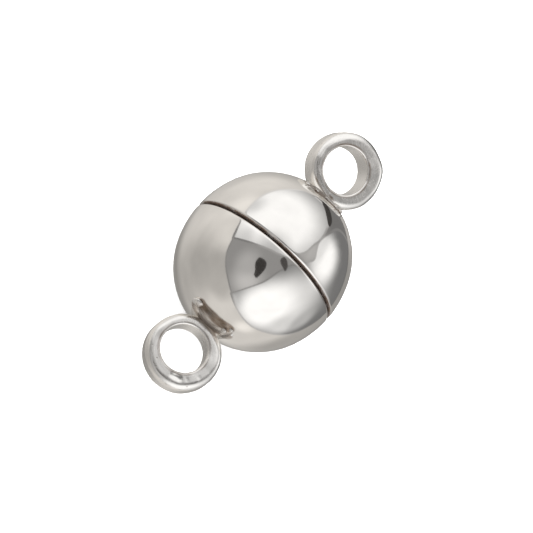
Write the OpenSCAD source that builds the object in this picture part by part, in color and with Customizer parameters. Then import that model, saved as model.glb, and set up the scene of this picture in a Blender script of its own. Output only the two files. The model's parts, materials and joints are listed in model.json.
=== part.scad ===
// A ball-shaped magnetic clasp for a necklace or bracelet, in millimetres.
// Two stamped cups close face to face on a pair of disc magnets. Each cup has one closed
// loop soldered to its crown. The clasp lies on the plane z = 0, with its axis along X, the
// left half towards -X and the seam at x = 0.

/* [Ball] */
// Diameter of the closed ball across its seam
ball_d = 8; // [6:0.5:16]
// How much longer the closed ball is than it is wide
ball_stretch = 0.6; // [0.3:0.05:1.5]
// How much smaller a crown's radius is than the ball's
crown_ease = 0.07; // [0.04:0.01:0.12]
// Thickness of the cups' sheet metal
wall = 0.4; // [0.25:0.05:0.8]
// Width of the open seam between the two rims
rim_gap = 0.12; // [0.04:0.01:0.3]
// Radius of the polished outer edge of each rim
rim_round = 0.13; // [0.05:0.01:0.2]

/* [Loops] */
// Outer diameter of a loop
loop_d = 3.6; // [3.4:0.02:5]
// Width of a loop's band along its hole
loop_w = 1.3; // [1:0.02:1.8]
// Diameter of the hole through a loop
hole_d = 2.24; // [1.4:0.02:2.3]
// Radius of the worn outer edges of a loop
loop_edge = 0.34; // [0.1:0.02:0.4]
// Radius of the edges at both ends of the hole
hole_edge = 0.12; // [0.02:0.01:0.14]
// How far the hole's centre lies from the loop's centre towards the ball
hole_in = 0.1; // [0:0.01:0.15]
// How far the hole's centre lies from the loop's centre to one side
hole_side = 0.11; // [0:0.01:0.15]
// How deep the loop's edge sinks into the top of the crown
loop_sink = 0.2; // [0.12:0.02:0.24]
// Angle between the two loops, as the halves were closed
swivel = 15; // [-90:5:90]

/* [Solder] */
// Diameter of the solder where it meets the crown
solder_d = 1.8; // [1.4:0.05:2.2]
// Height of the solder over the top of the crown
solder_h = 0.1; // [0.05:0.01:0.2]
// How much narrower the solder is at its top, on each side
solder_slope = 0.2; // [0.05:0.05:0.4]

/* [Magnets] */
// Thickness of a magnet
magnet_t = 1.9; // [1:0.1:2.5]
// How far a magnet's face stands out of its cup's rim
magnet_proud = 0.05; // [0.02:0.01:0.06]
// Gap for the glue at a magnet's back edge
glue_gap = 0.08; // [0.04:0.01:0.2]
// Width of the bevel on a magnet's edges
magnet_bevel = 0.15; // [0.05:0.05:0.3]

/* [Hidden] */
$fn = 96;
// Extra length of a cutting shape past the face that it cuts
past = 1;
// How far a soldered shape starts under the surface that it joins
bury = 0.06;
// How many straight steps an arc is drawn in
crown_steps = 20;
side_steps = 6;
edge_steps = 6;

// A cup's section is two arcs that meet smoothly: the crown's, with its centre on the
// axis, and the side's, with its centre across the axis and level with the seam.
ball_r = ball_d / 2;
crown_top = ball_r + ball_stretch / 2;
crown_r = ball_r - crown_ease;
crown_z = crown_top - crown_r;
side_r = (crown_z * crown_z + ball_r * ball_r - crown_r * crown_r) / (2 * crown_ease);
side_x = ball_r - side_r;
join_angle = atan2(crown_z, -side_x);

// The rim's edge is a small arc inside the side's arc, and meets it smoothly too.
rim_z = rim_gap / 2;
edge_z = rim_z + rim_round;
edge_x = side_x + sqrt(pow(side_r - rim_round, 2) - edge_z * edge_z);
edge_angle = atan2(edge_z, edge_x - side_x);
mouth_angle = asin(rim_z / (side_r - wall));

loop_r = loop_d / 2;
hole_r = hole_d / 2;
loop_z = crown_top + loop_r - loop_sink;
hole_z = loop_z - hole_in;

solder_r = solder_d / 2;
solder_z = crown_z + sqrt(crown_r * crown_r - solder_r * solder_r) - bury;
solder_top = crown_top + solder_h;

// The magnet is as wide as the cup is at its back face, less the glue.
magnet_z = rim_z - magnet_proud;
magnet_back = magnet_z + magnet_t;
magnet_r = sqrt(pow(crown_r - wall, 2) - pow(magnet_back - crown_z, 2)) - glue_gap;

// Points on an arc, without its first one where the arc carries on from another
function arc(centre, r, from, to, steps, first = 1) = [
    for (i = [first:steps])
        let (angle = from + (to - from) * i / steps)
        centre + r * [cos(angle), sin(angle)]
];

// Half of a stamped cup's section: round its rim, over its outside and back through its inside
cup_outline = concat(
    arc([edge_x, edge_z], rim_round, -90, edge_angle, edge_steps, first = 0),
    arc([side_x, 0], side_r, edge_angle, join_angle, side_steps),
    arc([0, crown_z], crown_r, join_angle, 90, crown_steps),
    arc([0, crown_z], crown_r - wall, 90, join_angle, crown_steps, first = 0),
    arc([side_x, 0], side_r - wall, join_angle, mouth_angle, side_steps)
);

// Half of a loop's section before its hole is made
flat_r = loop_r - loop_edge;
flat_w = loop_w / 2 - loop_edge;
band_outline = concat(
    [[0, -loop_w / 2]],
    arc([flat_r, -flat_w], loop_edge, -90, 0, edge_steps, first = 0),
    arc([flat_r, flat_w], loop_edge, 0, 90, edge_steps, first = 0),
    [[0, loop_w / 2]]
);

// Half of the section of what the hole takes away, which is wider at both ends
mouth_r = hole_r + hole_edge;
mouth_w = loop_w / 2 - hole_edge;
hole_outline = concat(
    [[0, -loop_w / 2 - past], [mouth_r, -loop_w / 2 - past]],
    arc([mouth_r, -mouth_w], hole_edge, 270, 180, edge_steps, first = 0),
    arc([mouth_r, mouth_w], hole_edge, 180, 90, edge_steps, first = 0),
    [[mouth_r, loop_w / 2 + past], [0, loop_w / 2 + past]]
);

// A stamped cup, open at its rim and closed at its crown
module cup() {
    rotate_extrude() polygon(cup_outline);
}

module loop_band() {
    translate([0, 0, loop_z]) rotate([0, 90, 0]) rotate_extrude() polygon(band_outline);
}

module loop_hole() {
    translate([0, hole_side, hole_z]) rotate([0, 90, 0]) rotate_extrude() polygon(hole_outline);
}

module solder() {
    translate([0, 0, solder_z])
        cylinder(r1 = solder_r, r2 = solder_r - solder_slope, h = solder_top - solder_z);
}

// One half of the clasp, with its axis upright and its seam at z = 0
module looped_cup() {
    difference() {
        union() {
            cup();
            loop_band();
            solder();
        }
        loop_hole();
    }
}

// A disc magnet in its place in an upright half
module magnet() {
    rotate_extrude() polygon([
        [0, magnet_z],
        [magnet_r - magnet_bevel, magnet_z],
        [magnet_r, magnet_z + magnet_bevel],
        [magnet_r, magnet_back - magnet_bevel],
        [magnet_r - magnet_bevel, magnet_back],
        [0, magnet_back]
    ]);
}

// Lays an upright half down on the right of the seam, turned about the clasp's axis
module on_the_right(turn) {
    translate([0, 0, ball_r]) rotate([turn, 0, 0]) rotate([0, 90, 0]) children();
}

// The same on the left, where the half isn't turned
module on_the_left() {
    mirror([1, 0, 0]) on_the_right(0) children();
}

module left_half() {
    color("silver") on_the_left() looped_cup();
}

module left_magnet() {
    color("slategray") on_the_left() magnet();
}

module right_magnet() {
    color("slategray") on_the_right(swivel) magnet();
}

module right_half() {
    color("silver") on_the_right(swivel) looped_cup();
}

left_half();
left_magnet();
right_magnet();
right_half();
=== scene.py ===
"""A magnetic ball clasp in polished silver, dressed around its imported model, and its studio.

Lengths are in metres and angles in degrees, unless a name says otherwise. A half is made in
its own frame, with the seam at z = 0, the loop up the z axis and the loop's hole along x.
"""

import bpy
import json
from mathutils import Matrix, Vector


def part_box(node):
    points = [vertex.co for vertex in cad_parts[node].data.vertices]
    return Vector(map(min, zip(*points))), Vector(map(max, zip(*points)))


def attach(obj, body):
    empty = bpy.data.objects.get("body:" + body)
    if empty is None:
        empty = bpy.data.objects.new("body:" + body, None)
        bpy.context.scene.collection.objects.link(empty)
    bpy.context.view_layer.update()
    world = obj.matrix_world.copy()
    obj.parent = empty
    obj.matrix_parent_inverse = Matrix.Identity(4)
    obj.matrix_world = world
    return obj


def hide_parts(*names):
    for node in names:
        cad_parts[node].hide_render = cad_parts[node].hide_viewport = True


bl_info = {
    "name": "Magnetic ball clasp",
    "version": (1, 0, 0),
    "blender": (4, 5, 0),
    "location": "View3D > Sidebar > Clasp",
    "description": "Makes the two silver halves, their magnets and the studio around them",
    "category": "Add Mesh",
}

import json
import math

import bmesh
import bpy
from bpy.props import FloatProperty, FloatVectorProperty, PointerProperty
from mathutils import Matrix, Vector, noise

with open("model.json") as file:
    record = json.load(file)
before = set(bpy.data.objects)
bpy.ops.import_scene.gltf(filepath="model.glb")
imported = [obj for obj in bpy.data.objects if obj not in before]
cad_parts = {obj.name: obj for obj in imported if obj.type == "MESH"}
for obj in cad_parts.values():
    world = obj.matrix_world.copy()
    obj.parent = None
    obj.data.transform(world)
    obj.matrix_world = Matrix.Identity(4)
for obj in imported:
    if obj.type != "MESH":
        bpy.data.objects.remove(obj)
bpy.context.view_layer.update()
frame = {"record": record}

MM = 0.001

LEFT_LOW, LEFT_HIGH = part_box("left_half")
RIGHT_LOW, RIGHT_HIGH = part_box("right_half")
MAGNET_LOW, MAGNET_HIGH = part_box("right_magnet")
MOUNTS = {mount["name"]: mount for mount in frame["record"]["mounts"]}
LEFT_HOLE = MOUNTS["left_loop"]
RIGHT_HOLE = MOUNTS["right_loop"]
# Where a hole's centre is in its half's own frame, told from the half that isn't turned
HOLE_Y = LEFT_HOLE["pos_m"][1]
HOLE_Z = -LEFT_HOLE["pos_m"][0]

BALL_RADIUS = (LEFT_HIGH.y - LEFT_LOW.y) / 2
SEAM_HALF = -LEFT_HIGH.x
CLASP_END = RIGHT_HIGH.x
SILVER_BRIGHTNESS = frame["record"]["materials"][0]["base_color"][0]
SWIVEL = math.degrees(math.atan2(-RIGHT_HOLE["axis"][1], RIGHT_HOLE["axis"][2]))


def length(name, description, default, low, high):
    """The setting of a length, given in millimetres."""
    return FloatProperty(
        name=name, description=description, unit="LENGTH",
        default=default * MM, min=low * MM, max=high * MM)


def swatch(name, description, default):
    """The setting of a colour."""
    return FloatVectorProperty(
        name=name, description=description, subtype="COLOR", default=default, min=0, max=1)


class ClaspSizes(bpy.types.PropertyGroup):
    """Sizes of the two halves that their boxes don't give."""

    crown_ease: length(
        "Crown ease", "How much smaller a crown's radius is than the ball's", 0.07, 0.04, 0.12)
    ball_stretch: length(
        "Ball stretch", "How much longer the closed ball is than it is wide", 0.6, 0.3, 1.5)
    wall: length("Sheet", "Thickness of the cups' sheet metal", 0.4, 0.25, 0.8)
    rim_round: length(
        "Rim rounding", "Radius of the polished outer edge of each rim", 0.13, 0.05, 0.2)
    loop_radius: length("Loop radius", "Outer radius of a loop", 1.8, 1.6, 2.5)
    loop_width: length("Loop width", "Width of a loop's band along its hole", 1.3, 0.9, 1.8)
    loop_edge: length("Loop edge", "Radius of the worn outer edges of a loop", 0.34, 0.1, 0.4)
    hole_edge: length(
        "Hole edge", "Radius of the edges at both ends of a hole", 0.12, 0.02, 0.2)
    solder_height: length(
        "Solder height", "Height of the solder over the top of the crown", 0.16, 0.05, 0.3)
    magnet_bevel: length(
        "Magnet edge", "Radius of the plated edges of a magnet", 0.15, 0.05, 0.3)


class ClaspFinish(bpy.types.PropertyGroup):
    """Colours and polish of the metals."""

    silver: swatch("Silver", "Colour of clean polished silver", (0.93, 0.91, 0.88))
    # Its dark brown is the tarnish inside the cups and, on the faces in the seam, painted shade
    tarnish_and_seam_shade: swatch(
        "Tarnish", "Colour of the brown film where polishing doesn't reach",
        (0.105, 0.073, 0.056))
    film: swatch(
        "Film", "Colour of the thin brown film round the solder", (0.28, 0.22, 0.175))
    nickel: swatch("Nickel", "Colour of the magnets' plating", (0.62, 0.6, 0.57))
    ball_roughness: FloatProperty(
        name="Ball roughness", description="Roughness of the mirror-polished cups",
        default=0.07, min=0, max=1)
    loop_roughness: FloatProperty(
        name="Loop roughness", description="Roughness of the hand-finished loops",
        default=0.2, min=0, max=1)


class ClaspStudio(bpy.types.PropertyGroup):
    """The camera's place and the studio's light."""

    camera_place: FloatVectorProperty(
        name="Camera place", description="Where the camera stands",
        default=(-113.96 * MM, 19.17 * MM, 386.96 * MM), subtype="TRANSLATION")
    camera_right: FloatVectorProperty(
        name="Camera right", description="Direction that is to the right in the picture",
        default=(0.6343, -0.7393, 0.2262), subtype="DIRECTION")
    camera_up: FloatVectorProperty(
        name="Camera up", description="Direction that is up in the picture",
        default=(0.7187, 0.6717, 0.1797), subtype="DIRECTION")
    lens: FloatProperty(
        name="Lens", description="Focal length in millimetres on a sensor 36 mm wide",
        default=582.8, min=50, max=1000)
    room: swatch("Room", "Colour of the soft light all round", (0.75, 0.75, 0.75))
    floor_light: FloatProperty(
        name="Floor light", description="Strength of the lamp over the floor",
        default=9.0, min=0, max=20)


# Mesh making

# Places of a half's finishes in its list of materials. The last is the tarnish inside the cups and
# the painted shade on the faces in the seam
POLISHED, WORKED, TARNISHED_AND_SEAM_SHADE = range(3)


def metres(values):
    """Numbers in millimetres, as metres."""
    return [value * MM for value in values]


def arc(centre, radius, start, end, steps, first=1):
    """Points on an arc, without its first one where the arc carries on from another."""
    turns = [math.radians(start + (end - start) * i / steps) for i in range(first, steps + 1)]
    return [(centre[0] + radius * math.cos(t), centre[1] + radius * math.sin(t)) for t in turns]


def smooth(share):
    """A share from 0 to 1 that starts and ends slowly."""
    share = min(max(share, 0.0), 1.0)
    return share * share * (3 - 2 * share)


def tube(bm, rings, close_ends):
    """Joins rings of points, each a closed loop, into one skin of worked metal."""
    rows = [[bm.verts.new(point) for point in ring] for ring in rings]
    count = len(rows[0])
    pairs = list(zip(rows, rows[1:]))
    if not close_ends:
        pairs.append((rows[-1], rows[0]))
    for low, high in pairs:
        for i in range(count):
            j = (i + 1) % count
            bm.faces.new((low[i], low[j], high[j], high[i])).material_index = WORKED
    if close_ends:
        for row in (rows[0], rows[-1]):
            bm.faces.new(row).material_index = WORKED


def turned(bm, section, sides, finishes):
    """Turns a section, points of radius and height, round the z axis from pole to pole."""
    steps = [2 * math.pi * i / sides for i in range(sides)]
    poles = [bm.verts.new((0, 0, section[end][1])) for end in (0, -1)]
    rows = [
        [bm.verts.new((r * math.cos(t), r * math.sin(t), z)) for t in steps]
        for r, z in section[1:-1]
    ]
    for i in range(sides):
        j = (i + 1) % sides
        bm.faces.new((poles[0], rows[0][i], rows[0][j])).material_index = finishes[0]
        bm.faces.new((poles[1], rows[-1][j], rows[-1][i])).material_index = finishes[-1]
        for k in range(len(rows) - 1):
            face = bm.faces.new((rows[k][i], rows[k + 1][i], rows[k + 1][j], rows[k][j]))
            face.material_index = finishes[k + 1]


def as_object(bm, name, matrix, materials):
    """A smooth-shaded object of a mesh in a half's own frame, put in the clasp's frame."""
    bmesh.ops.transform(bm, matrix=matrix, verts=bm.verts)
    bmesh.ops.recalc_face_normals(bm, faces=bm.faces)
    mesh = bpy.data.meshes.new(name)
    bm.to_mesh(mesh)
    bm.free()
    for material in materials:
        mesh.materials.append(material)
    mesh.shade_smooth()
    made = bpy.data.objects.new(name, mesh)
    bpy.context.scene.collection.objects.link(made)
    return made


def fuse(body, parts):
    """Joins overlapping closed parts into one skin and removes what they leave inside."""
    for part in parts:
        union = body.modifiers.new("fuse " + part.name, "BOOLEAN")
        union.operation = "UNION"
        union.solver = "EXACT"
        union.object = part
    bpy.context.view_layer.update()
    fused = body.evaluated_get(bpy.context.evaluated_depsgraph_get())
    mesh = bpy.data.meshes.new_from_object(fused)
    body.modifiers.clear()
    body.data = mesh
    for part in parts:
        bpy.data.objects.remove(part)


def place_right(turn):
    """The matrix that puts a half in the clasp's frame, to the right of the seam."""
    lift = Matrix.Translation((0, 0, BALL_RADIUS))
    swing = Matrix.Rotation(math.radians(turn), 4, "X")
    return lift @ swing @ Matrix.Rotation(math.radians(90), 4, "Y")


def place_left():
    """The same to the left of the seam."""
    return Matrix.Scale(-1, 4, (1, 0, 0)) @ place_right(0)


# The cup

CUP_SIDES = 288
# The crown's middle, where the solder is, has smaller steps than the rest
MIDDLE_END = 58
MIDDLE_STEPS = 60
CROWN_STEPS = 36
SIDE_STEPS = 14
RIM_STEPS = 10
# The last steps of the rim's rounding, inside the seam, are dull: they take the dark tarnish colour
# as the seam's painted shade
SEAM_SHADE_RIM_STEPS = 4


class CupShape:
    """The arcs of a cup's section, worked out from the clasp's sizes."""

    def __init__(self, sizes):
        self.crown_r = BALL_RADIUS - sizes.crown_ease
        self.crown_top = BALL_RADIUS + sizes.ball_stretch / 2
        self.crown_z = self.crown_top - self.crown_r
        rise = self.crown_z ** 2 + BALL_RADIUS ** 2 - self.crown_r ** 2
        self.side_r = rise / (2 * sizes.crown_ease)
        self.side_x = BALL_RADIUS - self.side_r
        self.join = math.degrees(math.atan2(self.crown_z, -self.side_x))
        self.rim_z = SEAM_HALF
        self.edge_z = self.rim_z + sizes.rim_round
        reach = (self.side_r - sizes.rim_round) ** 2 - self.edge_z ** 2
        self.edge_x = self.side_x + math.sqrt(reach)
        self.edge = math.degrees(math.atan2(self.edge_z, self.edge_x - self.side_x))

    def height(self, radius):
        """Height of the crown's outside at a radius from the axis."""
        return self.crown_z + math.sqrt(max(self.crown_r ** 2 - radius ** 2, 0))


def make_cup(name, sizes, shape, matrix, materials):
    """A stamped cup: a polished outside and rim, an unpolished inside, and the seam's shade painted
    dark on the faces in the seam.
    """
    inner_r = shape.crown_r - sizes.wall
    inner_side = shape.side_r - sizes.wall
    mouth = math.degrees(math.asin(shape.rim_z / inner_side))
    outside = arc((0, shape.crown_z), shape.crown_r, 90, MIDDLE_END, MIDDLE_STEPS, first=0)
    outside += arc((0, shape.crown_z), shape.crown_r, MIDDLE_END, shape.join, CROWN_STEPS)
    outside += arc((shape.side_x, 0), shape.side_r, shape.join, shape.edge, SIDE_STEPS)
    outside += arc((shape.edge_x, shape.edge_z), sizes.rim_round, shape.edge, -90, RIM_STEPS)
    inside = arc((shape.side_x, 0), inner_side, mouth, shape.join, SIDE_STEPS, first=0)
    inside += arc((0, shape.crown_z), inner_r, shape.join, 90, CROWN_STEPS // 2)
    section = outside + inside
    # The rim's last steps and the faces in the seam take the tarnish colour as painted shade of the
    # seam
    polished = len(outside) - 2 - SEAM_SHADE_RIM_STEPS
    finishes = [POLISHED if k < polished else TARNISHED_AND_SEAM_SHADE for k in range(len(section))]
    bm = bmesh.new()
    turned(bm, section, CUP_SIDES, finishes)
    return as_object(bm, name, matrix, materials)


# The loop

LOOP_SIDES = 288
EDGE_STEPS = 8
BAND_STEPS = 12
FACE_STEPS = 5
# How much a hand-finished loop's faces, edges and band wander, and how quickly
FACE_WANDER = 0.03
EDGE_WANDER = 0.3
BAND_WANDER = 0.014
FACE_PACE = 2.3
EDGE_PACE = 1.1
BAND_PACE = 1.7
# The steady share of it: a face's wear and a band's swelling
FACE_WEAR = 0.5
BAND_SWELLING = 0.7
# Puts the edges' noise in another place than the faces'
EDGE_SHIFT = Vector((5, 0, 0))


def hole_reach(centre, radius, angle):
    """Distance from the loop's centre to the wall of a hole that lies off that centre."""
    across = Vector((math.sin(angle), math.cos(angle)))
    along = centre.dot(across)
    return along + math.sqrt(radius ** 2 - (centre.length_squared - along ** 2))


def make_loop(name, sizes, hole, seed, dents, matrix, materials):
    """A thick closed ring with its hole off centre and its edges worn round."""
    centre_z = CLASP_END - sizes.loop_radius
    hole_centre = Vector((HOLE_Y, HOLE_Z - centre_z))
    hole_r = hole["dims"]["r_mm"] * MM
    rings = []
    for i in range(LOOP_SIDES):
        angle = 2 * math.pi * i / LOOP_SIDES
        at = Vector((math.sin(angle), math.cos(angle), seed))
        swelling = BAND_WANDER * (BAND_SWELLING + noise.noise(BAND_PACE * at))
        outer = sizes.loop_radius * (1 + swelling)
        wear = FACE_WANDER * (FACE_WEAR + noise.noise(FACE_PACE * at))
        half = sizes.loop_width / 2 * (1 - wear)
        wander = EDGE_WANDER * noise.noise(EDGE_PACE * at + EDGE_SHIFT)
        edge = sizes.loop_edge * (1 + wander)
        inner = hole_reach(hole_centre, hole_r, angle)
        rim = sizes.hole_edge
        face = [
            inner + rim + (outer - edge - inner - rim) * k / FACE_STEPS
            for k in range(1, FACE_STEPS)
        ]
        section = arc((outer - edge, half - edge), edge, 90, 0, EDGE_STEPS, first=0)
        section += [(outer, (half - edge) * (1 - 2 * k / BAND_STEPS)) for k in range(1, BAND_STEPS)]
        section += arc((outer - edge, edge - half), edge, 0, -90, EDGE_STEPS, first=0)
        section += [(reach, -half) for reach in reversed(face)]
        section += arc((inner + rim, rim - half), rim, 270, 180, EDGE_STEPS, first=0)
        section += [(inner, (half - rim) * (2 * k / BAND_STEPS - 1)) for k in range(1, BAND_STEPS)]
        section += arc((inner + rim, half - rim), rim, 180, 90, EDGE_STEPS, first=0)
        section += [(reach, half) for reach in face]
        rings.append([
            Vector((x, r * math.sin(angle), centre_z + r * math.cos(angle))) for r, x in section
        ])
    for place, size, push in dents:
        place = Vector(metres(place))
        push = Vector(metres(push))
        for ring in rings:
            for k, point in enumerate(ring):
                near = 1 - (point - place).length / (size * MM)
                if near > 0:
                    ring[k] = point + push * smooth(near)
    bm = bmesh.new()
    tube(bm, rings, close_ends=False)
    return as_object(bm, name, matrix, materials)


# The solder

SOLDER_SIDES = 96
SOLDER_STEPS = 14
# Half widths of the solder, across and along the loop, where it meets the crown and the loop
SOLDER_FOOT = (0.80 * MM, 0.98 * MM)
SOLDER_TOP = (0.46 * MM, 0.66 * MM)
SOLDER_BURY = 0.05 * MM
# How much its outline and its height wander, how quickly, and how much less the top does
SOLDER_WANDER = 0.10
SOLDER_PACE = 2.6
LIFT_WANDER = 0.3
LIFT_PACE = 3.1
TOP_CALM = 0.5


def make_solder(name, sizes, shape, seed, matrix, materials):
    """The uneven fillet of solder round a loop's foot."""
    rings = []
    for step in range(SOLDER_STEPS + 1):
        share = step / SOLDER_STEPS
        ring = []
        for i in range(SOLDER_SIDES):
            angle = 2 * math.pi * i / SOLDER_SIDES
            at = Vector((math.cos(angle), math.sin(angle), seed))
            wander = 1 + SOLDER_WANDER * noise.noise(SOLDER_PACE * at) * (1 - TOP_CALM * share)
            inward = 1 - (1 - share) ** 2
            reach = [f + (t - f) * inward for f, t in zip(SOLDER_FOOT, SOLDER_TOP)]
            x = reach[0] * wander * math.cos(angle)
            y = reach[1] * wander * math.sin(angle)
            lift = share ** 2 * (1 + LIFT_WANDER * noise.noise(LIFT_PACE * at))
            base = shape.height(math.hypot(x, y)) - SOLDER_BURY * (1 - share)
            ring.append(Vector((x, y, base + sizes.solder_height * lift)))
        rings.append(ring)
    bm = bmesh.new()
    tube(bm, rings, close_ends=True)
    return as_object(bm, name, matrix, materials)


BEAD_RINGS = 16
BEAD_SIDES = 28
BEAD_WANDER = 0.16
BEAD_PACE = 1.4


def make_bead(name, place, size, lean, seed, matrix, materials):
    """A small frozen drop of solder, not quite round."""
    rings = []
    turn = Matrix.Rotation(math.radians(lean), 3, "Z")
    for step in range(1, BEAD_RINGS):
        polar = math.pi * step / BEAD_RINGS
        ring = []
        for i in range(BEAD_SIDES):
            angle = 2 * math.pi * i / BEAD_SIDES
            way = Vector((
                math.sin(polar) * math.cos(angle),
                math.sin(polar) * math.sin(angle),
                math.cos(polar),
            ))
            swell = 1 + BEAD_WANDER * noise.noise(BEAD_PACE * way + Vector((0, 0, seed)))
            point = Vector([w * s * swell for w, s in zip(way, size)])
            ring.append(place + turn @ point)
        rings.append(ring)
    bm = bmesh.new()
    tube(bm, rings, close_ends=True)
    return as_object(bm, name, matrix, materials)


# The halves

# The angle between two faces from which the edge between them is sharp
SHARP_ANGLE = 40
# The crown's film: how softly it ends, how much its outline wanders and how quickly
FILM_SOFTNESS = 0.1 * MM
FILM_WANDER = 0.16
FILM_LUMP = 0.4 * MM
# It reaches from this deep under the crown to this high over it, inside a share of the ball
FILM_DEPTH = 0.25 * MM
FILM_HEIGHT = 0.2 * MM
FILM_REACH = 0.75
# The share left on drops of solder, which start this high over the crown
BEAD_FILM = 0.4
BEAD_HEIGHT = 0.02 * MM
# A dark brown line, in the film's colour, along both ends of a hole, and how unevenly it runs
LIP_DARKNESS = 1.2
LIP_WIDTH = 0.08 * MM
LIP_LEFT = 0.6
LIP_WANDER = 0.8
LIP_LUMP = 0.7 * MM


def film_on_crown(point, seed, patches):
    """How thick the brown film round the solder is at a place on the crown."""
    film = 0.0
    spot = Vector((point.x, point.y, 0))
    wander = noise.noise(spot / FILM_LUMP + Vector((0, 0, seed)))
    for start, end, radius, strength in patches:
        line = end - start
        along = min(max((spot - start).dot(line) / line.length_squared, 0), 1)
        away = (spot - start - line * along).length + FILM_WANDER * wander * radius
        film = max(film, strength * smooth((radius - away) / FILM_SOFTNESS + 0.5))
    return film


def mark_skin(half, sizes, shape, hole, seed, patches, matrix):
    """Notes the brown film, a dark line along both ends of each hole and the way of brushing on a
    half's skin.
    """
    mesh = half.data
    films = mesh.attributes.new("Film", "FLOAT", "POINT")
    strokes = mesh.attributes.new("Strokes", "FLOAT_VECTOR", "POINT")
    back = matrix.inverted()
    centre_z = CLASP_END - sizes.loop_radius
    lip = hole["dims"]["r_mm"] * MM + sizes.hole_edge
    patches = [
        (Vector((*metres(start), 0)), Vector((*metres(end), 0)), radius * MM, strength)
        for start, end, radius, strength in patches
    ]
    for vert in mesh.vertices:
        point = back @ vert.co
        from_axis = math.hypot(point.x, point.y)
        above = point.z - shape.height(from_axis)
        film = 0.0
        if from_axis < BALL_RADIUS * FILM_REACH and -FILM_DEPTH < above < FILM_HEIGHT:
            film = film_on_crown(point, seed, patches)
            if above > BEAD_HEIGHT and from_axis > SOLDER_FOOT[1]:
                film *= BEAD_FILM
        across = math.hypot(point.y - HOLE_Y, point.z - HOLE_Z)
        away = math.hypot(across - lip, abs(point.x) - sizes.loop_width / 2)
        # A dark brown line, in the film's colour, along both ends of the hole
        if point.z > shape.crown_top:
            left = LIP_LEFT + LIP_WANDER * noise.noise(point / LIP_LUMP + Vector((seed, 0, 0)))
            film = max(film, LIP_DARKNESS * left * smooth(1 - away / LIP_WIDTH))
        films.data[vert.index].value = film
        reach = math.hypot(point.y, point.z - centre_z)
        angle = math.atan2(point.y, point.z - centre_z)
        strokes.data[vert.index].vector = (point.x / MM, reach / MM, angle)


def make_half(name, node, body, sizes, hole, seed, beads, dents, patches, matrix, materials):
    """A cup with its loop soldered on, fused into one skin, in place of its plain solid."""
    shape = CupShape(sizes)
    half = make_cup(name, sizes, shape, matrix, materials)
    parts = [make_loop(name + "_loop", sizes, hole, seed, dents, matrix, materials)]
    parts.append(make_solder(name + "_solder", sizes, shape, seed, matrix, materials))
    for i, (place, size, lean) in enumerate(beads):
        x, y = metres(place)
        place = Vector((x, y, shape.height(math.hypot(x, y))))
        bead_name = f"{name}_bead_{i}"
        parts.append(make_bead(bead_name, place, metres(size), lean, seed + i, matrix, materials))
    fuse(half, parts)
    mark_skin(half, sizes, shape, hole, seed, patches, matrix)
    half.data.shade_smooth()
    half.data.set_sharp_from_angle(angle=math.radians(SHARP_ANGLE))
    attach(half, body)
    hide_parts(node)


# The magnets

MAGNET_SIDES = 192


def make_magnet(name, node, body, sizes, matrix, materials):
    """A plated disc with softened edges, in place of its plain solid."""
    radius = (MAGNET_HIGH.y - MAGNET_LOW.y) / 2
    front, back = MAGNET_LOW.x, MAGNET_HIGH.x
    edge = sizes.magnet_bevel
    section = [(0, front), (radius / 3, front), (radius * 2 / 3, front)]
    section += arc((radius - edge, front + edge), edge, -90, 0, EDGE_STEPS, first=0)
    section += arc((radius - edge, back - edge), edge, 0, 90, EDGE_STEPS, first=0)
    section += [(radius * 2 / 3, back), (radius / 3, back), (0, back)]
    bm = bmesh.new()
    turned(bm, section, MAGNET_SIDES, [0] * len(section))
    magnet = as_object(bm, name, matrix, materials)
    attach(magnet, body)
    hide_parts(node)


# Shader nodes

def add_node(tree, kind, values=None, **settings):
    """A new node with its settings made and its inputs set or linked."""
    made = tree.nodes.new(kind)
    for name, value in settings.items():
        setattr(made, name, value)
    for name, value in (values or {}).items():
        if isinstance(value, bpy.types.NodeSocket):
            tree.links.new(value, made.inputs[name])
        else:
            made.inputs[name].default_value = value
    return made


def math_node(tree, operation, first, second=0.0, third=0.0, clamp=False):
    """The result of a sum on one, two or three values."""
    values = {0: first, 1: second, 2: third}
    made = add_node(tree, "ShaderNodeMath", values, operation=operation, use_clamp=clamp)
    return made.outputs["Value"]


def mix_colour(tree, share, first, second):
    """A colour between two others."""
    made = tree.nodes.new("ShaderNodeMix")
    made.data_type = "RGBA"
    for name, value in (("Factor_Float", share), ("A_Color", first), ("B_Color", second)):
        socket = next(s for s in made.inputs if s.identifier == name)
        if isinstance(value, bpy.types.NodeSocket):
            tree.links.new(value, socket)
        else:
            socket.default_value = value
    return next(s for s in made.outputs if s.identifier == "Result_Color")


def new_group(name, inputs, outputs):
    """An empty shader group with float inputs and their defaults, and float outputs."""
    group = bpy.data.node_groups.new(name, "ShaderNodeTree")
    for socket, default in inputs.items():
        made = group.interface.new_socket(socket, in_out="INPUT", socket_type="NodeSocketFloat")
        made.default_value = default
    for socket in outputs:
        group.interface.new_socket(socket, in_out="OUTPUT", socket_type="NodeSocketFloat")
    return group, add_node(group, "NodeGroupInput"), add_node(group, "NodeGroupOutput")


def use_group(tree, group, values):
    """A group placed in a material with its own values."""
    made = add_node(tree, "ShaderNodeGroup", node_tree=group)
    for name, value in values.items():
        made.inputs[name].default_value = value
    return made


def millimetres(tree, stretch=(1, 1, 1), turn=(0, 0, 0)):
    """Coordinates that ride with the piece, in millimetres, turned and then stretched."""
    place = add_node(tree, "ShaderNodeTexCoord").outputs["Object"]
    scale = [1 / (s / MM) for s in stretch]
    values = {"Vector": place, "Rotation": [math.radians(t) for t in turn], "Scale": scale}
    made = add_node(tree, "ShaderNodeMapping", values, vector_type="TEXTURE")
    return made.outputs["Vector"]


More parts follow.
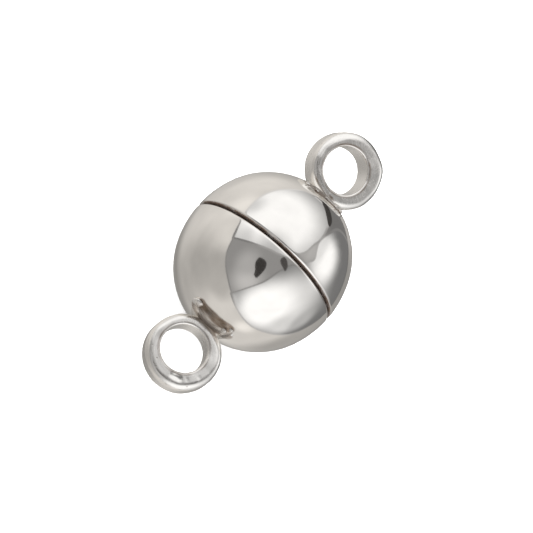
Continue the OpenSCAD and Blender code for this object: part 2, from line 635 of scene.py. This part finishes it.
def hairlines_group():
    """Fine scratches: the thin lines where stretched noise crosses its middle value."""
    group, given, result = new_group(
        "Hairline scratches",
        {"Density": 2.0, "Width": 0.02, "Cover": 0.5},
        ["Lines"],
    )
    lines = 0.0
    for stretch, turn in (((0.12, 1, 1), (0, 20, 35)), ((1, 0.1, 1), (15, 0, -28))):
        place = millimetres(group, stretch, turn)
        values = {"Vector": place, "Scale": given.outputs["Density"], "Detail": 1.0}
        grain = add_node(group, "ShaderNodeTexNoise", values).outputs["Fac"]
        away = math_node(group, "ABSOLUTE", math_node(group, "SUBTRACT", grain, 0.5))
        share = math_node(group, "DIVIDE", away, given.outputs["Width"])
        line = math_node(group, "SUBTRACT", 1.0, share, clamp=True)
        patches = {"Vector": millimetres(group, turn=turn), "Scale": 1.6, "Detail": 2.0}
        patch = add_node(group, "ShaderNodeTexNoise", patches).outputs["Fac"]
        patch = math_node(group, "LESS_THAN", patch, given.outputs["Cover"])
        lines = math_node(group, "MAXIMUM", lines, math_node(group, "MULTIPLY", line, patch))
    group.links.new(lines, result.inputs["Lines"])
    return group


def handling_group():
    """Faint smudges of handling and the slow waves of a stamped and polished sheet."""
    group, given, result = new_group(
        "Handling", {"Smudge size": 0.9, "Wave size": 0.35}, ["Smudges", "Waves"])
    values = {"Vector": millimetres(group), "Detail": 4.0, "Roughness": 0.62}
    values["Scale"] = given.outputs["Smudge size"]
    smudges = add_node(group, "ShaderNodeTexNoise", values).outputs["Fac"]
    values = {"Vector": millimetres(group, turn=(40, 0, 10)), "Detail": 1.0}
    values["Scale"] = given.outputs["Wave size"]
    waves = add_node(group, "ShaderNodeTexNoise", values).outputs["Fac"]
    group.links.new(smudges, result.inputs["Smudges"])
    group.links.new(waves, result.inputs["Waves"])
    return group


def pits_group():
    """Small scattered pits, as a casting or solder has them."""
    group, given, result = new_group("Pits", {"Density": 2.2, "Size": 0.12, "Cover": 0.4}, ["Pits"])
    values = {"Vector": millimetres(group), "Scale": given.outputs["Density"]}
    cells = add_node(group, "ShaderNodeTexVoronoi", values)
    share = math_node(group, "DIVIDE", cells.outputs["Distance"], given.outputs["Size"])
    pit = math_node(group, "SUBTRACT", 1.0, share, clamp=True)
    pick = add_node(group, "ShaderNodeSeparateColor", {"Color": cells.outputs["Color"]})
    pick = math_node(group, "LESS_THAN", pick.outputs["Red"], given.outputs["Cover"])
    group.links.new(math_node(group, "MULTIPLY", pit, pick), result.inputs["Pits"])
    return group


def brushing_group():
    """Fine lines round a loop, as a file or brush leaves them on its band and in its hole."""
    group, given, result = new_group(
        "Brushing", {"Fineness": 16.0, "Length": 1.6}, ["Lines"])
    strokes = add_node(group, "ShaderNodeAttribute", attribute_name="Strokes")
    scale = add_node(group, "ShaderNodeCombineXYZ", {
        "X": given.outputs["Fineness"],
        "Y": given.outputs["Fineness"],
        "Z": given.outputs["Length"],
    })
    place = add_node(group, "ShaderNodeVectorMath", operation="MULTIPLY")
    group.links.new(strokes.outputs["Vector"], place.inputs[0])
    group.links.new(scale.outputs["Vector"], place.inputs[1])
    values = {"Vector": place.outputs["Vector"], "Scale": 1.0, "Detail": 2.0}
    lines = add_node(group, "ShaderNodeTexNoise", values).outputs["Fac"]
    group.links.new(lines, result.inputs["Lines"])
    return group


def film_group():
    """The brown film that soldering leaves, streaky and with worn edges."""
    group, given, result = new_group("Film", {"Streaks": 5.0}, ["Film"])
    film = add_node(group, "ShaderNodeAttribute", attribute_name="Film").outputs["Fac"]
    values = {"Vector": millimetres(group, (1, 0.35, 1)), "Scale": given.outputs["Streaks"]}
    values["Detail"] = 4.0
    streaks = add_node(group, "ShaderNodeTexNoise", values).outputs["Fac"]
    streaks = math_node(group, "MULTIPLY_ADD", streaks, 1.6, 0.1, clamp=True)
    group.links.new(math_node(group, "MULTIPLY", film, streaks), result.inputs["Film"])
    return group


def metal(name, colour):
    """A material with a metallic shader, and its shader."""
    material = bpy.data.materials.new(name)
    material.use_nodes = True
    shader = material.node_tree.nodes["Principled BSDF"]
    shader.inputs["Metallic"].default_value = 1.0
    shader.inputs["Base Color"].default_value = (*colour, 1)
    material.diffuse_color = (*colour, 1)
    return material, shader


def weighted_sum(tree, start, parts):
    """A start value and the parts, each a value and its weight, added up."""
    total = start
    for value, weight in parts:
        total = math_node(tree, "MULTIPLY_ADD", value, weight, total)
    return total


def dress(tree, shader, colour, roughness, heights, depth):
    """Gives a shader its colour, its roughness and the relief that weighted heights make."""
    tree.links.new(colour, shader.inputs["Base Color"])
    tree.links.new(roughness, shader.inputs["Roughness"])
    values = {"Height": weighted_sum(tree, 0.0, heights), "Distance": depth}
    relief = add_node(tree, "ShaderNodeBump", values)
    tree.links.new(relief.outputs["Normal"], shader.inputs["Normal"])


def polished_silver(finish, groups):
    """The cups' outside: a mirror with faint smudges, hairlines and slow waves."""
    material, shader = metal("polished_silver", finish.silver)
    tree = material.node_tree
    handling = use_group(tree, groups["handling"], {"Smudge size": 0.8, "Wave size": 0.3})
    hairlines = {"Density": 5.0, "Width": 0.006, "Cover": 0.42}
    lines = use_group(tree, groups["hairlines"], hairlines).outputs["Lines"]
    film = use_group(tree, groups["film"], {"Streaks": 4.0}).outputs["Film"]
    colour = mix_colour(tree, film, (*finish.silver, 1), (*finish.film, 1))
    parts = [(handling.outputs["Smudges"], 0.06), (lines, 0.05), (film, 0.16)]
    roughness = weighted_sum(tree, finish.ball_roughness - 0.03, parts)
    heights = [(handling.outputs["Waves"], 1.0), (lines, -0.002)]
    dress(tree, shader, colour, roughness, heights, 0.008 * MM)
    return material


def worked_silver(finish, groups):
    """The loops and solder: filed, brushed and handled, with pits and clear scratches."""
    material, shader = metal("worked_silver", finish.silver)
    tree = material.node_tree
    handling = use_group(tree, groups["handling"], {"Smudge size": 2.2, "Wave size": 1.6})
    hairlines = {"Density": 6.0, "Width": 0.02, "Cover": 0.56}
    lines = use_group(tree, groups["hairlines"], hairlines).outputs["Lines"]
    holes = {"Density": 3.4, "Size": 0.16, "Cover": 0.3}
    pits = use_group(tree, groups["pits"], holes).outputs["Pits"]
    brushing = use_group(tree, groups["brushing"], {"Fineness": 8.0, "Length": 2.2})
    film = use_group(tree, groups["film"], {"Streaks": 3.0}).outputs["Film"]
    film = math_node(tree, "MULTIPLY_ADD", pits, 0.8, film, clamp=True)
    colour = mix_colour(tree, film, (*finish.silver, 1), (*finish.film, 1))
    parts = [(handling.outputs["Smudges"], 0.16), (lines, 0.10), (film, 0.2)]
    roughness = weighted_sum(tree, finish.loop_roughness - 0.08, parts)
    heights = [
        (handling.outputs["Waves"], 0.5),
        (brushing.outputs["Lines"], 0.22),
        (lines, -0.04),
        (pits, -0.3),
    ]
    dress(tree, shader, colour, roughness, heights, 0.02 * MM)
    return material


def tarnished_silver_and_seam_shade(finish, groups):
    """The cups' inside, which no polish reached, and the faces in the seam, painted this dark as
    the seam's shade.
    """
    material, shader = metal("tarnished_silver_and_seam_shade", finish.tarnish_and_seam_shade)
    tree = material.node_tree
    handling = use_group(tree, groups["handling"], {"Smudge size": 1.2, "Wave size": 0.8})
    smudges = handling.outputs["Smudges"]
    hairlines = {"Density": 4.0, "Width": 0.03, "Cover": 0.6}
    lines = use_group(tree, groups["hairlines"], hairlines).outputs["Lines"]
    shader.inputs["Metallic"].default_value = 0.35
    patches = math_node(tree, "MULTIPLY_ADD", smudges, 3.0, -1.4, clamp=True)
    pale = [0.35 * s for s in finish.silver]
    colour = mix_colour(tree, patches, (*finish.tarnish_and_seam_shade, 1), (*pale, 1))
    roughness = weighted_sum(tree, 0.3, [(smudges, 0.25)])
    dress(tree, shader, colour, roughness, [(lines, -0.2)], 0.01 * MM)
    return material


def nickel_plating(finish, groups):
    """The magnets' plating: satin, with rubbed spots and scratches from closing."""
    material, shader = metal("nickel_plating", finish.nickel)
    tree = material.node_tree
    handling = use_group(tree, groups["handling"], {"Smudge size": 1.0, "Wave size": 0.5})
    smudges = handling.outputs["Smudges"]
    hairlines = {"Density": 3.0, "Width": 0.02, "Cover": 0.6}
    lines = use_group(tree, groups["hairlines"], hairlines).outputs["Lines"]
    holes = {"Density": 2.6, "Size": 0.07, "Cover": 0.3}
    pits = use_group(tree, groups["pits"], holes).outputs["Pits"]
    rubbed = math_node(tree, "MULTIPLY_ADD", smudges, 4.0, -1.6, clamp=True)
    light = [min(1.15 * n, 1) for n in finish.nickel]
    dark = [0.72 * n for n in finish.nickel]
    colour = mix_colour(tree, rubbed, (*dark, 1), (*light, 1))
    roughness = weighted_sum(tree, 0.36, [(smudges, -0.2), (lines, -0.08)])
    dress(tree, shader, colour, roughness, [(lines, -0.1), (pits, -0.6)], 0.01 * MM)
    return material


def make_materials(finish):
    """Every finish of the clasp, with the effects that they share."""
    groups = {
        "hairlines": hairlines_group(),
        "handling": handling_group(),
        "pits": pits_group(),
        "brushing": brushing_group(),
        "film": film_group(),
    }
    makers = (polished_silver, worked_silver, tarnished_silver_and_seam_shade, nickel_plating)
    return {maker.__name__: maker(finish, groups) for maker in makers}


# The studio

PAPER_DISTANCE = 0.2
PAPER_SIDES = 120
PAPER_RINGS = 60
# Each layer of cards is nearer to the clasp than the one behind it by this much
LAYER_STEP = 0.005
CARD_RINGS = 14
CARD_EDGE_STEPS = 5
STRIP_HALF_WIDTH = 1.1
# How much brighter and darker the paper and a cloth softbox are where they are creased
PAPER_CREASES = 0.02
CLOTH_CREASES = 0.018
CREASE_PACE = 4.0
CREASE_DETAIL = (0.6, 2.0, 3)

# Colours of the light, against a neutral white
PAPER_TINT = (1.0, 0.968, 0.925)
CLOTH_TINT = (1.0, 1.0, 1.0)
CEILING_TINT = (1.0, 0.985, 0.975)
DARK_TINT = (1.0, 0.93, 0.89)

# Each card is the outline of what the ball reflects, as azimuth and elevation seen from the
# clasp, and a corner that is given twice is a sharp one. The softboxes and the ceiling
# between them fill one round opening in the paper.
OPENING = [
    (64, 19), (79, 28), (95, 34), (117, 34), (139, 33), (158, 30), (175, 23), (196, 7),
    (214, -7), (235, -19), (254, -30), (271, -36), (287, -41), (301, -41), (317, -37),
    (329, -38), (341, -41), (350, -38), (357, -28), (3, -19), (10, -16), (21, -7), (36, 2),
    (50, 10),
]
HIGH_SOFTBOX = [
    (98, 33), (98, 33), (94, 56), (67, 80), (313, 76), (314, 50), (324, 35), (328, 24),
    (337, 7), (345, -11), (353, -19), (3, -19), (10, -16), (21, -7), (36, 2), (50, 10),
    (64, 19), (79, 28),
]
LOW_SOFTBOX = [
    (174, 22), (174, 22), (187, 44), (218, 62), (249, 68), (278, 65), (298, 52), (303, 40),
    (308, 32), (319, 30), (327, 25), (332, 8), (335, -15), (329, -38), (317, -37),
    (301, -41), (287, -41), (271, -36), (254, -30), (235, -19), (214, -7), (196, 7),
]
LENS = [(191, 62), (180, 63), (172, 67), (150, 71), (132, 76), (160, 82), (196, 80), (200, 73)]
LAMP_HEAD = [
    (304, 75), (303, 72), (292, 68), (280, 64), (269, 63), (271, 68), (276, 74), (290, 77),
]
DARK_GAP = [
    (358, -30), (356, -21), (352, -14), (346, -5), (340, 1), (338, -1), (341, -10), (345, -17),
    (349, -23), (354, -29),
]

# Shades of each card: where one is centred, how far its full tone and its fading reach, and
# its tone, which is how bright the silver looks there, from 0 to 1
PAPER_TONE = 0.80
PAPER_SHADES = [
    ((90, 0), 10, 50, 0.83),
    ((170, 0), 5, 35, 0.82),
    ((128, -10), 8, 46, 0.645),
    ((135, -50), 5, 40, 0.66),
    ((30, -55), 10, 50, 0.77),
    ((42, -18), 8, 30, 0.85),
    ((-20, -50), 10, 40, 0.64),
    ((-60, -52), 10, 45, 0.57),
    ((-95, -50), 8, 30, 0.64),
    ((138, 20), 12, 34, 0.66),
    ((160, 16), 5, 25, 0.69),
    ((100, -78), 8, 30, 0.56),
    ((-21, -46), 4, 16, 0.69),
    ((64, 8), 3, 22, 0.90),
    ((-150, -14), 2, 16, 0.92),
]
CEILING_TONE = 0.55
CEILING_SHADES = [
    ((178, 50), 4, 32, 0.74),
    ((140, 62), 3, 24, 0.66),
    ((-42, 40), 5, 22, 0.69),
    ((-25, -20), 12, 48, 0.44),
]
HIGH_TONE = 0.60
HIGH_SHADES = [
    ((30, 42), 28, 75, 0.985),
    ((50, 84), 2, 34, 0.72),
    ((95, 48), 2, 22, 0.80),
    ((58, 16), 2, 19, 0.82),
]
LOW_TONE = 0.45
LOW_SHADES = [
    ((-100, 20), 12, 58, 0.83),
    ((-135, 25), 20, 52, 1.01),
    ((-50, 15), 10, 33, 1.0),
    ((-44, 30), 5, 16, 0.88),
    ((-34, 18), 2, 12, 0.86),
    ((-112, -8), 6, 24, 0.84),
    ((-95, -16), 4, 16, 0.70),
    ((-178, 18), 2, 14, 0.74),
]
EDGE_TONE = 0.52
EDGE_SHADES = [((30, 0), 35, 60, 0.84), ((-140, -5), 30, 60, 0.72), ((-30, -40), 20, 50, 0.40)]
HIGH_EDGE_TONE = 0.60
HIGH_EDGE_SHADES = [
    ((100, 40), 10, 35, 0.44),
    ((20, -10), 30, 50, 0.86),
    ((315, 55), 10, 30, 0.64),
]
LOW_EDGE_TONE = 0.50
LOW_EDGE_SHADES = [
    ((-110, -30), 50, 80, 0.58),
    ((185, 40), 10, 30, 0.56),
    ((-46, 32), 16, 30, 0.63),
]
LENS_TONE = 0.22
LAMP_TONE = 0.28
GAP_TONE = 0.24


def direction(azimuth, elevation):
    """The unit vector towards an azimuth and an elevation."""
    a, e = math.radians(azimuth), math.radians(elevation)
    return Vector((math.cos(e) * math.cos(a), math.cos(e) * math.sin(a), math.sin(e)))


def shine(way, tone, shades, tint, creases):
    """The light that comes from one direction: a tone of the picture made a linear colour."""
    for centre, core, reach, shade in shades:
        away = math.degrees(way.angle(direction(*centre)))
        tone += (shade - tone) * smooth((reach - away) / (reach - core))
    tone *= 1 + creases * noise.fractal(way * CREASE_PACE, *CREASE_DETAIL)
    linear = ((tone + 0.055) / 1.055) ** 2.4
    return [linear * t / SILVER_BRIGHTNESS for t in tint]


def glowing(name):
    """A material that shines with the mesh's own Glow colours."""
    material = bpy.data.materials.new(name)
    material.use_nodes = True
    tree = material.node_tree
    tree.nodes.clear()
    glow = add_node(tree, "ShaderNodeAttribute", attribute_name="Glow")
    light = add_node(tree, "ShaderNodeEmission", {"Color": glow.outputs["Color"]})
    out = add_node(tree, "ShaderNodeOutputMaterial")
    tree.links.new(light.outputs["Emission"], out.inputs["Surface"])
    return material


def rounded(outline):
    """Directions along an outline's smooth curve, which is sharp where a corner is doubled."""
    corners = [direction(*corner) for corner in outline]
    count = len(corners)
    curve = []
    for i in range(count):
        before, here, there, after = (corners[(i + k) % count] for k in (-1, 0, 1, 2))
        if here == there:
            continue
        before = here if before == here else before
        after = there if after == there else after
        for k in range(CARD_EDGE_STEPS):
            t = k / CARD_EDGE_STEPS
            start = here + (there - before) * t / 2
            curve.append((
                here * (2 * t ** 3 - 3 * t ** 2 + 1) + there * (3 * t ** 2 - 2 * t ** 3)
                + (there - before) / 2 * (t ** 3 - 2 * t ** 2 + t)
                + (after - here) / 2 * (t ** 3 - t ** 2)
            ).normalized())
    return curve


def sheet_of_light(name, rows, layer, tone, shades, tint, creases):
    """A sheet round the clasp, given by rows of directions, that shows in reflections alone."""
    distance = PAPER_DISTANCE - layer * LAYER_STEP
    bm = bmesh.new()
    glow = bm.verts.layers.float_color.new("Glow")
    made = []
    for row in rows:
        verts = [bm.verts.new(way * distance + Vector((0, 0, BALL_RADIUS))) for way in row]
        for vert, way in zip(verts, row):
            vert[glow] = (*shine(way, tone, shades, tint, creases), 1)
        made.append(verts)
    for low, high in zip(made, made[1:]):
        for i in range(len(high)):
            j = (i + 1) % len(high)
            if len(low) == 1:
                bm.faces.new((low[0], high[i], high[j]))
            else:
                bm.faces.new((low[i], high[i], high[j], low[j]))
    sheet = as_object(bm, name, Matrix.Identity(4), [glowing(name)])
    sheet.visible_camera = False
    sheet.visible_diffuse = False
    sheet.visible_shadow = False


def make_card(name, outline, middle, layer, tone, shades=(), tint=CLOTH_TINT, creases=0.0):
    """A curved card round the clasp, filled from its middle to its outline."""
    centre = direction(*middle)
    border = rounded(outline)
    rows = [[centre]] + [
        [centre.slerp(way, ring / CARD_RINGS) for way in border]
        for ring in range(1, CARD_RINGS + 1)
    ]
    sheet_of_light(name, rows, layer, tone, shades, tint, creases)


def make_edge(name, outline, middle, layer, tone, shades):
    """The thin shaded edge of an opening or a softbox."""
    centre = direction(*middle)
    border = rounded(outline)
    rows = []
    for side in (-1, 1):
        rows.append([])
        for way in border:
            reach = centre.angle(way)
            share = 1 + side * math.radians(STRIP_HALF_WIDTH) / reach
            rows[-1].append(centre.slerp(way, share))
    sheet_of_light(name, rows, layer, tone, shades, CEILING_TINT, 0.0)


def make_paper():
    """Pale paper all round the clasp, with its soft shades."""
    rows = [[Vector((0, 0, 1))]]
    for ring in range(1, PAPER_RINGS):
        elevation = 90 - 180 * ring / PAPER_RINGS
        rows.append([direction(360 * i / PAPER_SIDES, elevation) for i in range(PAPER_SIDES)])
    rows.append([Vector((0, 0, -1))] * PAPER_SIDES)
    sheet_of_light("paper", rows, 0, PAPER_TONE, PAPER_SHADES, PAPER_TINT, PAPER_CREASES)


def make_cards():
    """The ceiling, the softboxes, the lens, a lamp's head and a gap, from back to front."""
    opening = (OPENING, (240, 80))
    high = (HIGH_SOFTBOX, (20, 40))
    low = (LOW_SOFTBOX, (250, 20))
    make_card("ceiling", *opening, 1, CEILING_TONE, CEILING_SHADES, CEILING_TINT)
    make_card("high_softbox", *high, 2, HIGH_TONE, HIGH_SHADES, creases=CLOTH_CREASES)
    make_card("low_softbox", *low, 2, LOW_TONE, LOW_SHADES, creases=CLOTH_CREASES)
    make_edge("high_softbox_edge", *high, 3, HIGH_EDGE_TONE, HIGH_EDGE_SHADES)
    make_edge("low_softbox_edge", *low, 3, LOW_EDGE_TONE, LOW_EDGE_SHADES)
    make_edge("opening_edge", *opening, 4, EDGE_TONE, EDGE_SHADES)
    make_card("lens", LENS, (178, 73), 5, LENS_TONE, tint=DARK_TINT)
    make_card("lamp_head", LAMP_HEAD, (286, 71), 5, LAMP_TONE, tint=DARK_TINT)
    make_card("dark_gap", DARK_GAP, (348, -14), 5, GAP_TONE, tint=DARK_TINT)


def make_world(studio):
    """The plain soft light of the room, which reaches the floor."""
    world = bpy.data.worlds.new("room")
    bpy.context.scene.world = world
    world.use_nodes = True
    world.node_tree.nodes["Background"].inputs["Color"].default_value = (*studio.room, 1)


FLOOR_HALF = 0.6
FLOOR_DROP = 0.01 * MM
FLOOR_COLOUR = (0.86, 0.86, 0.86)
LAMP_SPREAD = 70
SENSOR_WIDTH = 36
NEAREST_SEEN = 0.01
FARTHEST_SEEN = 2.0


def make_floor(studio):
    """A pale floor and the broad lamp that lights it. Neither shows in the silver."""
    bm = bmesh.new()
    corners = [(-1, -1), (1, -1), (1, 1), (-1, 1)]
    bm.faces.new([bm.verts.new((FLOOR_HALF * x, FLOOR_HALF * y, -FLOOR_DROP)) for x, y in corners])
    material = bpy.data.materials.new("pale_floor")
    material.use_nodes = True
    shader = material.node_tree.nodes["Principled BSDF"]
    shader.inputs["Base Color"].default_value = (*FLOOR_COLOUR, 1)
    shader.inputs["Roughness"].default_value = 1.0
    shader.inputs["Specular IOR Level"].default_value = 0.0
    floor = as_object(bm, "floor", Matrix.Identity(4), [material])
    floor.visible_glossy = False
    lamp = bpy.data.lights.new("floor_lamp", "SUN")
    lamp.energy = studio.floor_light
    lamp.angle = math.radians(LAMP_SPREAD)
    lamp_object = bpy.data.objects.new("floor_lamp", lamp)
    lamp_object.visible_glossy = False
    bpy.context.scene.collection.objects.link(lamp_object)


def make_camera(studio):
    """The camera at the photograph's angle."""
    right = Vector(studio.camera_right).normalized()
    up = Vector(studio.camera_up)
    up = (up - right * up.dot(right)).normalized()
    data = bpy.data.cameras.new("camera")
    data.lens = studio.lens
    data.sensor_width = SENSOR_WIDTH
    data.clip_start = NEAREST_SEEN
    data.clip_end = FARTHEST_SEEN
    camera = bpy.data.objects.new("camera", data)
    turn = Matrix((right, up, right.cross(up))).transposed()
    camera.matrix_world = Matrix.Translation(studio.camera_place) @ turn.to_4x4()
    bpy.context.scene.collection.objects.link(camera)
    bpy.context.scene.camera = camera


# The marks of each half, in millimetres in its own frame
# Drops of solder at the loop's foot: x and y, half sizes and lean in degrees
LEFT_BEADS = [
    ((-1.3, 1.08), (0.31, 0.26, 0.16), 35),
    ((-1.2, -0.68), (0.19, 0.14, 0.14), 20),
    ((-1.46, -0.92), (0.15, 0.12, 0.09), -30),
    ((-1.2, -1.08), (0.1, 0.08, 0.08), 0),
]
RIGHT_BEADS = [
    ((-1.62, 1.35), (0.2, 0.1, 0.08), 125),
    ((-1.9, 0.9), (0.08, 0.16, 0.07), 30),
    ((-2.0, 0.15), (0.08, 0.34, 0.07), 4),
    ((-1.93, -0.26), (0.13, 0.12, 0.13), 30),
    ((-1.74, -0.6), (0.14, 0.1, 0.12), 40),
]
# The brown film on the crown: a line between two places, its half width and its strength
LEFT_FILM = [
    ((-1.42, 0.86), (-1.5, -0.72), 0.3, 1.0),
    ((-0.9, 0.85), (-0.9, -0.8), 0.4, 0.65),
]
RIGHT_FILM = [
    ((-1.55, 1.3), (-1.9, 0.85), 0.2, 1.0),
    ((-1.9, 0.85), (-1.8, -0.55), 0.27, 1.2),
    ((-1.2, 1.0), (-1.2, -0.9), 0.55, 1.0),
]
# Dents in the loop: where, how wide and how far the metal is pushed
LEFT_DENTS = [
    ((-0.60, -0.28, 7.13), 0.2, (0.05, 0, -0.02)),
    ((-0.60, -0.46, 7.08), 0.22, (0.07, 0, -0.03)),
    ((-0.60, -0.66, 7.04), 0.2, (0.05, 0, -0.02)),
    ((-0.62, -0.95, 6.83), 0.13, (0.012, 0, 0)),
    ((-0.62, -1.30, 6.36), 0.15, (0.010, 0, 0)),
]
# The lump on the right loop's edge is a dent that is pushed outwards
RIGHT_DENTS = [((-0.3, -1.25, 7.15), 0.8, (0, -0.035, 0.035))]


class CLASP_OT_halves(bpy.types.Operator):
    """Makes the two silver halves: each a cup with its loop and solder"""

    bl_idname = "clasp.halves"
    bl_label = "Halves"

    def execute(self, context):
        sizes = context.scene.clasp_sizes
        made = shared_materials(context)
        silver = [made[m] for m in ("polished_silver", "worked_silver", "tarnished_silver_and_seam_shade")]
        make_half("left_cup_and_loop", "left_half", "left", sizes, LEFT_HOLE, 1.0,
                  LEFT_BEADS, LEFT_DENTS, LEFT_FILM, place_left(), silver)
        make_half("right_cup_and_loop", "right_half", "right", sizes, RIGHT_HOLE, 9.0,
                  RIGHT_BEADS, RIGHT_DENTS, RIGHT_FILM, place_right(SWIVEL), silver)
        return {"FINISHED"}


class CLASP_OT_magnets(bpy.types.Operator):
    """Makes the two plated disc magnets"""

    bl_idname = "clasp.magnets"
    bl_label = "Magnets"

    def execute(self, context):
        sizes = context.scene.clasp_sizes
        nickel = [shared_materials(context)["nickel_plating"]]
        make_magnet("left_disc_magnet", "left_magnet", "left", sizes, place_left(), nickel)
        make_magnet("right_disc_magnet", "right_magnet", "pull", sizes, place_right(0), nickel)
        return {"FINISHED"}


class CLASP_OT_stage(bpy.types.Operator):
    """Makes the camera, the pale floor and the studio that the silver reflects"""

    bl_idname = "clasp.stage"
    bl_label = "Studio"

    def execute(self, context):
        studio = context.scene.clasp_studio
        context.scene.view_settings.view_transform = "Standard"
        make_camera(studio)
        make_world(studio)
        make_paper()
        make_cards()
        make_floor(studio)
        return {"FINISHED"}


class CLASP_PT_panel(bpy.types.Panel):
    """Lists the clasp's pieces, sizes and finishes"""

    bl_idname = "CLASP_PT_panel"
    bl_label = "Clasp"
    bl_space_type = "VIEW_3D"
    bl_region_type = "UI"
    bl_category = "Clasp"

    def draw(self, context):
        column = self.layout.column()
        for operator in (CLASP_OT_halves, CLASP_OT_magnets, CLASP_OT_stage):
            column.operator(operator.bl_idname)
        for group in (context.scene.clasp_sizes, context.scene.clasp_finish):
            for name in group.__annotations__:
                column.prop(group, name)


CLASSES = (
    ClaspSizes, ClaspFinish, ClaspStudio,
    CLASP_OT_halves, CLASP_OT_magnets, CLASP_OT_stage, CLASP_PT_panel,
)
MATERIALS = {}


def shared_materials(context):
    """The clasp's materials, made when the first piece asks for them."""
    if not MATERIALS:
        MATERIALS.update(make_materials(context.scene.clasp_finish))
    return MATERIALS


def register():
    """Registers the classes and their settings."""
    for cls in CLASSES:
        bpy.utils.register_class(cls)
    bpy.types.Scene.clasp_sizes = PointerProperty(type=ClaspSizes)
    bpy.types.Scene.clasp_finish = PointerProperty(type=ClaspFinish)
    bpy.types.Scene.clasp_studio = PointerProperty(type=ClaspStudio)


def unregister():
    """Takes them away again."""
    del bpy.types.Scene.clasp_studio
    del bpy.types.Scene.clasp_finish
    del bpy.types.Scene.clasp_sizes
    for cls in reversed(CLASSES):
        bpy.utils.unregister_class(cls)


def main():
    """Makes the studio and the clasp."""
    register()
    bpy.ops.clasp.stage()
    bpy.ops.clasp.halves()
    bpy.ops.clasp.magnets()


if __name__ == "__main__":
    main()
